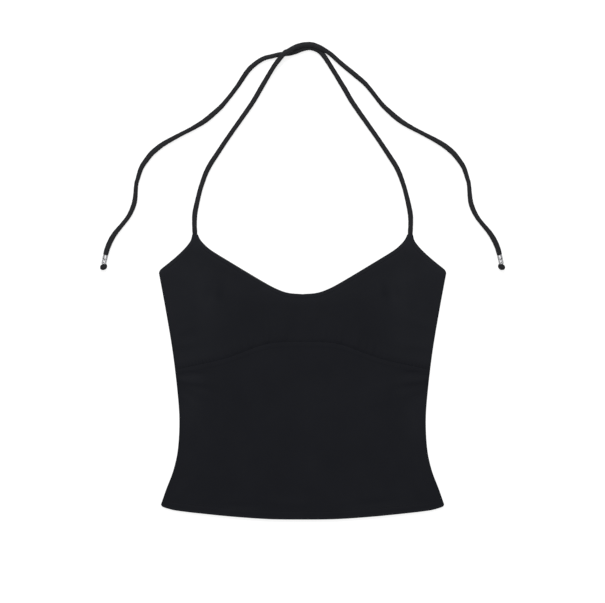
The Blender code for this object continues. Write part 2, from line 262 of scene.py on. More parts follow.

# Painted light: the jersey's colour made paler where light and sheen catch the outer cups, wing tips, waist
# sides and edges. How much, and where it starts and over what distance
OUTER_CUP_PAINTED_LIGHT, OUTER_CUP_START, OUTER_CUP_FADE = 0.55, 0.075, 0.060
BUST_PAINTED_LIGHT, BUST_FADE = 0.10, 0.012
WAIST_PAINTED_LIGHT, WAIST_START, WAIST_FADE = 0.45, 0.112, 0.034
WAIST_UP, WAIST_HALF_HEIGHT = -0.050, 0.045
TIP_PAINTED_LIGHT, TIP_FADE = 1.5, 0.026
TOP_EDGE_PAINTED_LIGHT, TOP_EDGE_FADE = 0.45, 0.014
TOP_EDGE_EXTRA, TOP_EDGE_EXTRA_FADE = 0.40, 0.060  # more towards the wings
HEM_PAINTED_LIGHT, HEM_FADE = 0.70, 0.0048
MOST_PAINTED_LIGHT = 2

# Grid of the shells: steps in from a border, closest where it rolls over
ROLL_STEPS = (0, 0.00004, 0.00016, 0.00036, 0.00062, 0.00095, 0.0014, 0.0020, 0.0028)
NECK_STEPS = (*ROLL_STEPS, 0.0036, 0.0042, 0.0046, 0.0049, 0.0052, 0.0056, 0.0061, 0.0068, 0.0080)
SEAM_STEPS = (*ROLL_STEPS, 0.0036, 0.0044, 0.0052, 0.0058, 0.0064, 0.0071, 0.0080)
HEM_STEPS = (*ROLL_STEPS, 0.0042, 0.0060, 0.0078, 0.0089, 0.0094, 0.0098, 0.0102, 0.0107, 0.0114, 0.0126)
COLUMN_STEP, ROW_STEP = 0.0019, 0.0021
TIP_COLUMN_STEP, BEFORE_TIP, PAST_TIP = 0.0007, 0.012, 0.020  # closer columns round the wing's tip
BORDER_STEP, SPAN_POINTS = 0.0005, 32
EDGE_POINTS, SIDE_POINTS = 400, 160
SETTLING_ROUNDS = 10
MOST_SLANT, SLANT_SPREAD = 2.4, 4  # slant is evened out over this many columns on each side

# Stitches
STITCH_PITCH, STITCH_LENGTH, STITCH_RADIUS = 0.0029, 0.0022, 0.00020
STITCH_SIDES = 6
STITCH_RINGS = table(
    "share width rise",
    (0.0, 0.45, -0.9),
    (0.10, 0.85, -0.1),
    (0.30, 1.0, 0.35),
    (0.70, 1.0, 0.35),
    (0.90, 0.85, -0.1),
    (1.0, 0.45, -0.9),
)

# Ties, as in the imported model. across is positive on the side of the wing that the tie leaves.
TIE_DIAMETER = 0.0052
TIE_CLEARANCE = 0.0001
INNER_RUN = table(
    "across up lift",
    (0.1368, 0.1813),
    (0.1371, 0.2040),
    (0.1334, 0.2243),
    (0.1280, 0.2446),
    (0.1200, 0.2649),
    (0.1072, 0.2852),
    (0.0935, 0.3056),
    (0.0650, 0.3462),
)
OVER_ARCH = table(
    "across up lift",
    (0.0529, 0.3665, 0.0002),
    (0.0408, 0.3868, 0.0015),
    (0.0342, 0.3967, 0.0034),
    (0.0236, 0.4097, 0.0057),
    (0.0185, 0.4127, 0.0057),
    (0.0084, 0.4184, 0.0046),
    (-0.0018, 0.4213, 0.0040),
    (-0.0119, 0.4214, 0.0043),
    (-0.0175, 0.4196, 0.0047),
    (-0.0223, 0.4176, 0.0043),
    (-0.0290, 0.4140, 0.0022),
    (-0.0358, 0.4097, 0.0007),
    (-0.0502, 0.3970, 0.0001),
    (-0.0750, 0.3765),
)
UNDER_ARCH = table(
    "across up lift",
    (0.0529, 0.3665),
    (0.0342, 0.3970),
    (0.0255, 0.4096),
    (0.0188, 0.4153),
    (0.0092, 0.4181),
    (0.0005, 0.4167),
    (-0.0084, 0.4132),
    (-0.0170, 0.4108),
    (-0.0280, 0.4097),
    (-0.0390, 0.4072),
    (-0.0493, 0.4044),
    (-0.0610, 0.3970),
    (-0.0707, 0.3871),
)
OUTER_RUN = table(
    "across up lift",
    (-0.0847, 0.3665),
    (-0.1010, 0.3459),
    (-0.1133, 0.3342),
    (-0.1236, 0.3257),
    (-0.1346, 0.3187),
    (-0.1460, 0.3125),
    (-0.1602, 0.3052),
    (-0.1776, 0.2954),
    (-0.1904, 0.2852),
    (-0.1988, 0.2750),
    (-0.2051, 0.2649),
    (-0.2094, 0.2515),
    (-0.2112, 0.2446),
    (-0.2131, 0.2243),
    (-0.2161, 0.2141),
    (-0.2210, 0.2040),
    (-0.2287, 0.1938),
    (-0.2372, 0.1836),
    (-0.2435, 0.1735, 0.0002),
    (-0.2478, 0.1633, 0.0004),
    (-0.2500, 0.1552, 0.0006),
)
# the tie's root runs on inside the wing's tip, a little inward and lower
ROOT_INSIDE, ROOT_INWARD, ROOT_DROP, ROOT_RISE_LENGTH = 0.0045, 0.0003, 0.0011, 0.016
TIE_RING_STEP, TIE_SIDES = 0.0010, 28
TIE_SIZES = table(  # from the wing to the bead: it lies flatter here and rounder there
    "along half_width half_height",
    (0.0000, 0.0026, 0.0008),
    (0.0046, 0.0031, 0.0010),
    (0.0078, 0.0032, 0.0018),
    (0.0150, 0.0031, 0.0023),
    (0.032, 0.0033, 0.0022),
    (0.060, 0.0030, 0.0025),
    (0.095, 0.0032, 0.0023),
    (0.135, 0.0030, 0.0024),
    (0.175, 0.0031, 0.0024),
    (0.212, 0.0032, 0.0023),
    (0.240, 0.0030, 0.0025),
    (0.270, 0.0032, 0.0023),
    (0.300, 0.0031, 0.0024),
    (0.335, 0.0029, 0.0025),
    (0.372, 0.0032, 0.0023),
    (0.410, 0.0028, 0.0025),
    (0.447, 0.0034, 0.0021),
    (0.483, 0.0027, 0.0025),
    (0.524, 0.0035, 0.0021),
    (0.552, 0.0032, 0.0023),
    (0.578, 0.0027, 0.0025),
    (0.604, 0.0032, 0.0023),
    (0.630, 0.0028, 0.0025),
    (0.655, 0.0034, 0.0023),
    (0.670, 0.0034, 0.0024),
    (0.6772, 0.0033, 0.0024),
    (0.6780, 0.0032, 0.0023),
    (0.6787, 0.0019, 0.0019),
    (0.6812, 0.0018, 0.0018),
)
TIE_INTO_BEAD = 0.0034
SEAM_DEPTH, SEAM_HALF_ANGLE, SEAM_TURN = 0.00028, math.radians(13), math.radians(-18)
SEAM_SWING, SEAM_WAVER = Wave(0.75, 0.083), Wave(0.3, 0.031)
SLUB, SLUB_PITCH, SLUB_WANDER = 0.00005, 0.0083, Wave(2, 0.047)
FINE_SLUB_LENGTH, FINE_SLUB_CHANGE, FINE_SLUB_TURNS = 0.0031, 0.019, 3
WRINKLE, WRINKLE_PITCH, WRINKLE_WANDER = 0.00013, 0.0036, Wave(3, 0.011)
SHARP_BEND, BEND_WINDOW = 0.040, 7  # a bend of this radius wrinkles fully on its inner side

# Beads and knots
END_SLANT = math.radians(12)
END_GAP = 0.0005
BEAD_LENGTH, BEAD_BODY, BEAD_BORE = 0.0116, 0.00292, 0.0021
BEAD_LOBE = 0.00004
BOSSES, BOSS_HALF_ANGLE, BOSS_HALF_LENGTH, BOSS_RISE = 4, math.radians(42), 0.0028, 0.00032
BOSS_RINGS = table("share first", (0.25, math.radians(66)), (0.71, math.radians(45)))
BOSS_POWER = 0.6  # below 1 the bosses are domes with broad crowns
RIM_RISE, RIM_HALF_LENGTH, FAR_RIM_SHARE = 0.00026, 0.00036, 0.6
RECESS_CONTRAST = 2.4  # how soon the metal stops being dark, going up a boss
BEAD_RINGS, BEAD_SIDES = 72, 120
KNOT_TURN = math.radians(-36)  # how far the knot leans outward from the bead's line
KNOT_MIDDLE = 0.0040  # from the bead to the knot's middle
KNOT_ROOT_SHARE = 0.4  # how far back inside the bead the knot's neck starts, of the bead's length
KNOT_NECK, KNOT_LEAN_START = (0.0052, 0.0038), 0.0016  # from the knot's middle
KNOT_SIZES = table(
    "along half_width half_height",
    (-0.0086, 0.0017, 0.0017),
    (-0.0044, 0.0017, 0.0017),
    (-0.0039, 0.0030, 0.0024),
    (-0.0030, 0.0038, 0.0027),
    (-0.0012, 0.0041, 0.0029),
    (0.0008, 0.0038, 0.0029),
    (0.0022, 0.0031, 0.0025),
    (0.0031, 0.0023, 0.0020),
    (0.0037, 0.0015, 0.0013),
    (0.0040, 0.0005, 0.0005),
)
KNOT_STRANDS, KNOT_STRAND_PITCH, KNOT_GROOVE = 2, 0.0034, 0.00050
KNOT_SWING, KNOT_SWING_PHASE = 0.16, 0.8
KNOT_WOUND_FROM, KNOT_WOUND_TO = -0.0040, 0.0034
KNOT_WOUND_FADE_IN, KNOT_WOUND_FADE_OUT = 0.0010, 0.0008
KNOT_LUMP, KNOT_LUMP_LENGTH, KNOT_LUMP_DRIFT = 0.00005, 0.0004, 0.0009
KNOT_RINGS, KNOT_SIDES, KNOT_RING_POWER = 90, 56, 1.7  # rings lie closer towards the knot's end

# Finishes. Colours are linear values.
Jersey = namedtuple("Jersey", "slot colour specular sheen", defaults=[0.055, 0.06])
BUST_JERSEY = Jersey("bust_jersey", (0.0048, 0.0053, 0.0076))
MIDRIFF_JERSEY = Jersey("midriff_jersey", (0.0050, 0.0055, 0.0079))
BACK_JERSEY = Jersey("back_jersey", (0.0050, 0.0055, 0.0079))
# the ties and knots are the panels' jersey with its colour painted over twice as pale: painted light, for
# the light that round ties catch
TIE_LIT_JERSEY = Jersey("tie_jersey", (0.0115, 0.0118, 0.0140), 0.08, 0.08)
JERSEY_ROUGHNESS, SHEEN_ROUGHNESS, SHEEN_TINT = 0.62, 0.35, (0.86, 0.90, 1.0, 1)
LIT_END, UNLIT_END = (1.99, 1.95, 1.70), 0.84  # of the colour, at the ends of its ramp: the lit end is reached mostly through the painted light
UNLIT_END_AT, LIT_END_AT = 0.19, 1.0  # of the mix of these shares
DYE_SHARE, YARN_SHARE, KNIT_SHARE, PAINTED_LIGHT_SHARE = 0.375, 0.156, 0.094, 0.375
DYE_SCALE, YARN_SCALE, FUZZ_SCALE = 17.0, 1500.0, 2600.0
WALE, COURSE, LEG_SLANT = 0.00070, 0.00055, 1.3  # a knit stitch's width and height
KNIT_DEPTH, KNIT_STRENGTH, FUZZ_SHARE = 0.00006, 0.5, 0.5
# the thread's colour, darker between its plies as painted shade and paler on them
THREAD_COLOUR, THREAD_DARK, THREAD_PALE = (0.0060, 0.0064, 0.0080), 0.7, 1.3
THREAD_ROUGHNESS, THREAD_SPECULAR = 0.55, 0.05
PLY_SCALE, PLY_DISTORTION, PLY_DEPTH, PLY_STRENGTH = 900.0, 2.0, 0.00005, 0.4
SILVER, OXIDE = (0.50, 0.50, 0.51), (0.150, 0.150, 0.155)
SILVER_EDGE_TINT = (0.45, 0.45, 0.46, 1)
SILVER_AT, OXIDE_AT = 0.15, 0.85
SILVER_ROUGHNESS, OXIDE_ROUGHNESS = 0.46, 0.70
WEAR_SCALE, WEAR_SHARE, WEAR_DEPTH, WEAR_STRENGTH = 1300.0, 0.35, 0.00005, 0.15

UP = np.array((0.0, 0.0, 1.0))


# ---- lines and numbers


def smooth_step(value):
    t = np.clip(value, 0, 1)
    return t * t * (3 - 2 * t)


def fade(value):
    return 1 - smooth_step(value)


def bell(value):
    return np.exp(-(value**2))


def value_at(rows, at, column=1):
    """A column of the rows at these values of their first one: a smooth curve, level past the ends."""
    x = np.array([row[0] for row in rows])
    y = np.array([row[column] for row in rows])
    low, high = np.maximum(np.arange(len(x)) - 1, 0), np.minimum(np.arange(len(x)) + 1, len(x) - 1)
    slope = (y[high] - y[low]) / (x[high] - x[low])
    at = np.clip(at, x[0], x[-1])
    i = np.clip(np.searchsorted(x, at, side="right") - 1, 0, len(x) - 2)
    step, rise = x[i + 1] - x[i], y[i + 1] - y[i]
    t = (at - x[i]) / step
    start, end = slope[i] * step, slope[i + 1] * step
    return y[i] + start * t + (3 * rise - 2 * start - end) * t**2 + (start + end - 2 * rise) * t**3


def wave_at(wave, along, phase=0):
    return wave.strength * np.sin(along / wave.length + wave.phase + phase)


def full_turn(count):
    return np.arange(count) * 2 * math.pi / count


def lengths_along(line):
    return np.concatenate([[0], np.cumsum(np.linalg.norm(np.diff(line, axis=0), axis=1))])


def unit(ways):
    return ways / np.linalg.norm(ways, axis=1)[:, None]


def left_of(ways):
    return unit(np.stack([-ways[:, 1], ways[:, 0]], axis=1))


def directions_along(line):
    return unit(np.gradient(line, axis=0))


def spaced(start, end, step):
    """Places about a step apart from start on, without the end."""
    return np.linspace(start, end, round((end - start) / step), endpoint=False)


def points_along(line, distances):
    reached = lengths_along(line)
    return np.stack([np.interp(distances, reached, line[:, k]) for k in range(line.shape[1])], axis=1)


def line_through(points, step):
    """Points about a step apart on a smooth curve through these, both ends included."""
    points = np.array(points, float)
    ends = np.vstack([2 * points[0] - points[1], points, 2 * points[-1] - points[-2]])
    fine = [points[:1]]
    t = np.arange(1, SPAN_POINTS + 1)[:, None] / SPAN_POINTS
    for before, start, end, after in zip(ends, ends[1:], ends[2:], ends[3:]):
        bend = 2 * before - 5 * start + 4 * end - after
        twist = 3 * start - before - 3 * end + after
        fine.append(0.5 * (2 * start + (end - before) * t + bend * t**2 + twist * t**3))
    fine = np.vstack(fine)
    long = lengths_along(fine)[-1]
    return points_along(fine, np.linspace(0, long, max(2, round(long / step) + 1)))


def both_halves(line):
    """The mirrored half, then the half itself, as one line from left to right."""
    return np.vstack([line[:0:-1] * (-1, 1), line])


def nearest_on(line, points):
    """Each point's distance from a line, and how far along the line its nearest place is."""
    tree = kdtree.KDTree(len(line))
    for i, (across, up) in enumerate(line):
        tree.insert((across, up, 0), i)
    tree.balance()
    index = np.array([tree.find((across, up, 0))[1] for across, up in points])
    reached = lengths_along(line)
    away, along = np.full(len(points), np.inf), np.zeros(len(points))
    for start in (np.maximum(index - 1, 0), np.minimum(index, len(line) - 2)):
        run = line[start + 1] - line[start]
        share = np.clip(((points - line[start]) * run).sum(1) / (run**2).sum(1), 0, 1)
        found = np.linalg.norm(points - line[start] - share[:, None] * run, axis=1)
        closer = found < away
        away[closer] = found[closer]
        along[closer] = (reached[start] + share * np.linalg.norm(run, axis=1))[closer]
    return away, along


# ---- form of the cloth


def half_width(up):
    return value_at(SIDE_SEAM, up)


def back_top(across):
    return BACK_TOP_MIDDLE + (UNDERARM.up - BACK_TOP_MIDDLE) * (across / UNDERARM.across) ** 2


def column_end(share, edge):
    """Where the lines that keep these shares of the half-width meet an edge, a function of across."""
    across = share * half_width(0.0)
    for _ in range(SETTLING_ROUNDS):
        up = edge(np.abs(across))
        across = share * half_width(up)
    return np.stack([across, up], axis=-1)


def hem_up(across):
    return value_at(HEM, across)


def underbust_up(across):
    return value_at(UNDERBUST, across)


def creases_at(creases, across, up):
    total = np.zeros_like(across)
    for crease in creases:
        turn = math.radians(crease.turn)
        along = (across - crease.across) * math.cos(turn) + (up - crease.up) * math.sin(turn)
        aside = (up - crease.up) * math.cos(turn) - (across - crease.across) * math.sin(turn)
        total += crease.rise * bell(aside / crease.width) * bell(2 * along / crease.length)
    return total


def gathers_at(across, up):
    above = up - underbust_up(np.abs(across))
    total = np.zeros_like(across)
    for gather in GATHERS:
        crest = gather.across + gather.lean * above / gather.length
        total += gather.rise * bell((across - crest) / gather.width) * fade(above / gather.length)
    return total * (GATHER_AT_SEAM + (1 - GATHER_AT_SEAM) * smooth_step(above / GATHER_START))


def painted_light_at(across, up):
    """0 to 2 of painted light: paler colour where light and sheen catch the outer cups, wings, waist sides
    and turned edges.
    """
    out = np.abs(across)
    above = smooth_step((up - underbust_up(out)) / BUST_FADE)
    outer_cup = OUTER_CUP_PAINTED_LIGHT * smooth_step((out - OUTER_CUP_START) / OUTER_CUP_FADE)
    bust = above * (outer_cup + BUST_PAINTED_LIGHT)
    waist_side = bell((up - WAIST_UP) / WAIST_HALF_HEIGHT) * smooth_step((out - WAIST_START) / WAIST_FADE)
    waist = WAIST_PAINTED_LIGHT * (1 - above) * waist_side
    tip = TIP_PAINTED_LIGHT * fade(np.hypot(out - TIP_ACROSS, up - TIP_UP) / TIP_FADE)
    inside = np.where(out < TIP_ACROSS, value_at(NECKLINE, out), value_at(ARMHOLE, out)) - up
    edge = TOP_EDGE_PAINTED_LIGHT + TOP_EDGE_EXTRA * smooth_step(out / TOP_EDGE_EXTRA_FADE)
    edge = edge * fade(inside / TOP_EDGE_FADE)
    hem = HEM_PAINTED_LIGHT * fade((up - hem_up(out)) / HEM_FADE)
    return np.clip(bust + waist + tip + edge + hem, 0, MOST_PAINTED_LIGHT)


def front_underside(across, up, creases):
    """It lies on the back, and past the back's edge on the surface, with its fullness and creases."""
    past_back = up - back_top(across)
    level = FRONT_LEVEL * fade((past_back - STEP_START) / STEP_LENGTH)
    share = np.abs(across) / half_width(up)
    cup = bell((np.abs(across) - CUP_ACROSS) / CUP_HALF_WIDTH) * bell((up - CUP_UP) / CUP_HALF_HEIGHT)
    fullness = CUP_RISE * cup + MIDRIFF_RISE * (1 - share**2) * fade(past_back / STEP_LENGTH)
    rise = fullness * smooth_step((1 - share) / SIDE_FADE)
    rise += creases_at(creases, across, up) * smooth_step((1 - share) / CREASE_SIDE_FADE)
    least = LEAST_RISE * level / FRONT_LEVEL
    past_least = rise - least
    return level + least + 0.5 * (past_least + np.sqrt(past_least**2 + LEAST_SOFTNESS**2))


def bust_underside(across, up):
    return front_underside(across, up, BUST_CREASES) + gathers_at(across, up)


def midriff_underside(across, up):
    """Just below the seam the seam allowance, pressed down, shows through as a low step."""
    below = underbust_up(np.abs(across)) - up
    allowance = ALLOWANCE_RISE * fade((below - SEAM_ALLOWANCE) / ALLOWANCE_FADE + 0.5)
    return front_underside(across, up, MIDRIFF_CREASES) + allowance


def back_underside(across, up):
    return creases_at(BACK_CREASES, across, up)


# turned is the width of a turned edge or 0, and pucker the height of the ripples that its sewing leaves
Border = namedtuple("Border", "line roll level turned pucker reach")


def sewing_ripple(along):
    """Uneven ripples along a sewn edge, from -1 to 1."""
    wander = sum(wave_at(wave, along) for wave in PUCKER_WANDER)
    strength = PUCKER_STRENGTH + wave_at(PUCKER_CHANGE, along, phase=wave_at(PUCKER_DRIFT, along))
    return strength * np.sin(2 * math.pi * along / PUCKER_PITCH + wander)


def shell_levels(points, underside, borders):
    """The heights of a shell's two faces at these points, (lower, upper)."""
    across, up = points[:, 0], points[:, 1]
    lower = underside(across, up)
    tip = np.hypot(np.abs(across) - TIP_ACROSS, up - TIP_UP)
    near_tip = fade(tip / TIP_REACH)
    thick = CLOTH + TIP_SWELL * near_tip**2
    nearest = np.full(len(points), np.inf)
    weights = np.zeros(len(points))
    roll, level = np.zeros(len(points)), np.zeros(len(points))
    for border in borders:
        away, along = nearest_on(border.line, points)
        weight = 1 / (away + BORDER_BLEND) ** 2
        weights += weight
        roll += border.roll * weight
        level += border.level * weight
        nearest = np.minimum(nearest, away)
        if border.turned:
            edge = border.turned - TURNED_FADE / 2
            dent = bell((away - border.turned + STITCH_INSIDE) / STITCH_DENT_WIDTH)
            double = fade((away - edge) / TURNED_FADE)
            thick += (TURNED_EXTRA * double - STITCH_DENT * dent) * (1 - near_tip)
        ripple = sewing_ripple(along) * bell(away / border.reach)
        thick += border.pucker * ripple * (1 - near_tip)
    roll = roll / weights + (TIP_ROLL - ROLL) * near_tip
    level /= weights
    close = np.sqrt(1 - (1 - np.clip(nearest / roll, 0, 1)) ** 2)
    upper = lower + thick
    rim = lower + level * thick
    return rim - (rim - lower) * close, rim + (upper - rim) * close


# ---- meshes


def add_object(name, data):
    obj = bpy.data.objects.new(name, data)
    bpy.context.scene.collection.objects.link(obj)
    return obj


def add_mesh(name, vertices, faces, material):
    mesh = bpy.data.meshes.new(name)
    mesh.from_pydata(vertices.tolist(), [], faces)
    mesh.shade_smooth()
    mesh.materials.append(material)
    obj = add_object(name, mesh)
    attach(obj, "root")
    return obj


def add_value(mesh, name, values):
    """A value at each point, which the mesh's material reads by its name."""
    layer = mesh.attributes.new(name, "FLOAT", "POINT")
    layer.data.foreach_set("value", values.astype(np.float32))


def quads(grid):
    """The faces of a grid of points, given as their indices."""
    return np.stack([grid[:-1, :-1], grid[1:, :-1], grid[1:, 1:], grid[:-1, 1:]], axis=-1).reshape(-1, 4)


def wall_quads(rings):
    """The faces between each ring of points and the next."""
    return quads(np.hstack([rings, rings[:, :1]]))


def slant_of(line):
    """How much longer a step straight up is than the same step square to the line, evened out."""
    slope = np.gradient(line[:, 1]) / np.maximum(np.gradient(line[:, 0]), 1e-7)
    stretch = np.minimum(np.sqrt(1 + slope**2), MOST_SLANT)
    window = 2 * SLANT_SPREAD + 1
    return np.convolve(np.pad(stretch, SLANT_SPREAD, mode="edge"), np.ones(window) / window, mode="valid")


def shell_plan(low, high, low_steps, high_steps):
    """(columns, rows, 2) places of a shell's points: columns from one edge up to the other."""
    share = high[:, 0] / half_width(high[:, 1])
    long = high[:, 1] - low[:, 1]
    from_low = np.outer(slant_of(low), low_steps)
    from_high = np.outer(slant_of(high), high_steps)[:, ::-1]
    inner = long - from_low[:, -1] - from_high[:, 0]
    count = max(2, round(float(inner.max()) / ROW_STEP))
    between = from_low[:, -1:] + inner[:, None] * np.arange(1, count) / count
    up = low[:, 1:] + np.hstack([from_low, between, long[:, None] - from_high])
    return np.stack([share[:, None] * half_width(up), up], axis=-1)


def shell_mesh(name, plan, levels, material):
    """A closed shell on the plan, whose two faces share the points of its border."""
    columns, rows = plan.shape[:2]
    lower, upper = (level.reshape(columns, rows) for level in levels(plan.reshape(-1, 2)))
    top = np.arange(columns * rows).reshape(columns, rows)
    bottom = top.copy()
    bottom[1:-1, 1:-1] = columns * rows + np.arange((columns - 2) * (rows - 2)).reshape(columns - 2, -1)
    inner = np.dstack([plan, lower])[1:-1, 1:-1]
    vertices = np.vstack([np.dstack([plan, upper]).reshape(-1, 3), inner.reshape(-1, 3)])
    faces = np.vstack([quads(top), quads(bottom)[:, ::-1]])
    cloth = add_mesh(name, vertices, faces.tolist(), material)
    # painted light, stored under the name stretch: paler colour where light and sheen catch the cloth
    add_value(cloth.data, "stretch", painted_light_at(vertices[:, 0], vertices[:, 1]))
    return cloth


def tube_mesh(name, centres, radii, material):
    """A closed tube round these centres. radii is (rings, sides, 2): half its width and half its height."""
    rings, sides = radii.shape[:2]
    tangent = directions_along(centres)
    aside = unit(np.cross(tangent, UP))
    over = np.cross(aside, tangent)
    turn = full_turn(sides)
    wide, high = radii[..., 0] * np.cos(turn), radii[..., 1] * np.sin(turn)
    ring = centres[:, None] + wide[..., None] * aside[:, None] + high[..., None] * over[:, None]
    vertices = np.vstack([ring.reshape(-1, 3), centres[:1], centres[-1:]])
    index = np.arange(rings * sides).reshape(rings, sides)
    beside = np.roll(index, -1, axis=1)
    first, last = rings * sides, rings * sides + 1
    ends = [(first, a, b) for a, b in zip(index[0], beside[0])]
    ends += [(last, b, a) for a, b in zip(index[-1], beside[-1])]
    tube = add_mesh(name, vertices, wall_quads(index).tolist() + ends, material)
    add_tube_coordinates(tube.data, centres, rings, sides, float(radii.mean()))
    return tube


def add_tube_coordinates(mesh, centres, rings, sides, radius):
    """Metres round and along the tube, which its knit follows."""
    corner = np.empty(len(mesh.loops), np.int64)
    mesh.loops.foreach_get("vertex_index", corner)
    ring = np.minimum(corner // sides, rings - 1)
    side = np.where(corner < rings * sides, corner % sides, 0)
    far_corners = side[: (rings - 1) * sides * 4].reshape(-1, 4)[:, 2:]
    far_corners[far_corners == 0] = sides  # the last face round each ring closes it
    around = side / sides * 2 * math.pi * radius
    places = np.stack([around, lengths_along(centres)[ring]], axis=1)
    mesh.uv_layers.new(name="tube").data.foreach_set("uv", places.astype(np.float32).ravel())


# ---- panels


def neck_and_armhole():
    """One half of the front's top edge: the neckline, the wing's narrow end and the armhole."""
    return np.vstack([line_through(NECKLINE, BORDER_STEP), line_through(ARMHOLE, BORDER_STEP)])


def edge_line(edge):
    """An edge from side to side, as a line."""
    half = line_through(column_end(np.linspace(0, 1, EDGE_POINTS), edge), BORDER_STEP)
    return both_halves(half)


def two_sides(line, roll, level, turned, pucker, reach):
    return [Border(line * (side, 1), roll, level, turned, pucker, reach) for side in (-1, 1)]


def side_borders(low, high, level):
    ups = np.linspace(low, high, SIDE_POINTS)
    right = line_through(np.stack([half_width(ups), ups], axis=1), BORDER_STEP)
    return two_sides(right, SIDE_ROLL, level, turned=0, pucker=0.00012, reach=0.006)


def panel_shares():
    """Columns from side to side, closest at the side seams."""
    wide = half_width(0.0)
    roll = np.array(ROLL_STEPS) / wide
    middle = np.linspace(0, 1 - roll[-1], round(wide / COLUMN_STEP), endpoint=False)
    half = np.concatenate([middle, 1 - roll[::-1]])
    return np.concatenate([-half[:0:-1], half])


def bust_columns():
    """Where the bust's columns meet its top edge, from left to right."""
    top = neck_and_armhole()
    long = lengths_along(top)[-1]
    tip = lengths_along(line_through(NECKLINE, BORDER_STEP))[-1]
    tip_start, tip_end = tip - BEFORE_TIP, tip + PAST_TIP
    last = long - ROLL_STEPS[-1]
    places = np.concatenate(
        [
            spaced(0, tip_start, COLUMN_STEP),
            np.arange(tip_start, tip_end, TIP_COLUMN_STEP),
            spaced(tip_end, last, COLUMN_STEP),
            long - np.array(ROLL_STEPS[::-1]),
        ]
    )
    return both_halves(points_along(top, places))


def make_panel(name, columns, steps, underside, borders, rows, finishes, sewn_below=()):
    """A panel's shell and its stitches, which are on its underside if sewn_below gives their dents."""

    def levels(points):
        lower, upper = shell_levels(points, underside, borders)
        for line, inside in sewn_below:
            away = nearest_on(line, points)[0]
            lower = lower + BACK_DENT * bell((away - inside) / STITCH_DENT_WIDTH)
        return lower, np.minimum(upper, CLOTH) if sewn_below else upper

    cloth = shell_mesh(f"{name}_cloth", shell_plan(*columns, *steps), levels, finishes[0])
    return cloth, stitch_mesh(f"{name}_stitches", rows, levels, finishes[1], face=0 if sewn_below else 1)


def make_bust(finishes):
    high = bust_columns()
    low = column_end(high[:, 0] / half_width(high[:, 1]), underbust_up)
    neck = both_halves(line_through(NECKLINE, BORDER_STEP))
    armhole = line_through(ARMHOLE, BORDER_STEP)
    seam = edge_line(underbust_up)
    borders = [
        Border(neck, ROLL, 0.5, NECK_TURN, pucker=0.00010, reach=0.0085),
        *two_sides(armhole, ROLL, 0.5, ARMHOLE_TURN, pucker=0.00012, reach=0.0085),
        Border(seam, SEAM_ROLL, SEAM_RIM_LEVEL, 0, pucker=0.00036, reach=0.0050),
        *side_borders(float(seam[-1, 1]), UNDERARM.up, FRONT_SIDE_LEVEL),
    ]
    inside = NECK_TURN - STITCH_INSIDE
    rows = [stitch_places(neck, -inside, skip=0.016)]
    rows += [stitch_places(armhole * (side, 1), -inside * side, skip=0.013) for side in (-1, 1)]
    steps = (SEAM_STEPS, NECK_STEPS)
    cloth, stitches = make_panel("bust", (low, high), steps, bust_underside, borders, rows, finishes)
    return cloth, stitches


def make_midriff(finishes):
    columns = [column_end(panel_shares(), edge) for edge in (hem_up, underbust_up)]
    hem, seam = edge_line(hem_up), edge_line(underbust_up)
    borders = [
        Border(hem, ROLL, 0.5, HEM_TURN, pucker=0.00012, reach=0.012),
        Border(seam, SEAM_ROLL, SEAM_RIM_LEVEL, 0, pucker=0.00026, reach=0.0044),
        *side_borders(float(hem[-1, 1]), float(seam[-1, 1]), FRONT_SIDE_LEVEL),
    ]
    rows = [stitch_places(hem, HEM_TURN - STITCH_INSIDE, skip=0.006)]
    steps = (HEM_STEPS, SEAM_STEPS)
    cloth, stitches = make_panel("midriff", columns, steps, midriff_underside, borders, rows, finishes)
    return cloth, stitches


def make_back(finishes):
    columns = [column_end(panel_shares(), edge) for edge in (hem_up, back_top)]
    hem, top = edge_line(hem_up), edge_line(back_top)
    borders = [
        Border(hem, ROLL, 0.5, 0, pucker=0.00006, reach=0.012),
        Border(top, ROLL, 0.5, 0, pucker=0.00006, reach=0.0085),
        *side_borders(float(hem[-1, 1]), UNDERARM.up, BACK_SIDE_LEVEL),
    ]
    dents = [(hem, HEM_TURN - STITCH_INSIDE), (top, BACK_TOP_TURN - STITCH_INSIDE)]
    rows = [stitch_places(hem, dents[0][1], skip=0.006), stitch_places(top, -dents[1][1], skip=0.006)]
    steps = (HEM_STEPS, NECK_STEPS)
    cloth, stitches = make_panel(
        "back", columns, steps, back_underside, borders, rows, finishes, sewn_below=dents
    )
    return cloth, stitches


# ---- stitches


def stitch_places(line, to_left, skip):
    """(stitches, 2 ends, 2) of a row at this distance to the left of a border, going along it."""
    row = line + to_left * left_of(directions_along(line))
    long = lengths_along(row)[-1]
    count = round((long - 2 * skip) / STITCH_PITCH)
    middles = np.linspace(skip, long - skip, count)
    return np.stack([points_along(row, middles + k * STITCH_LENGTH / 2) for k in (-1, 1)], axis=1)


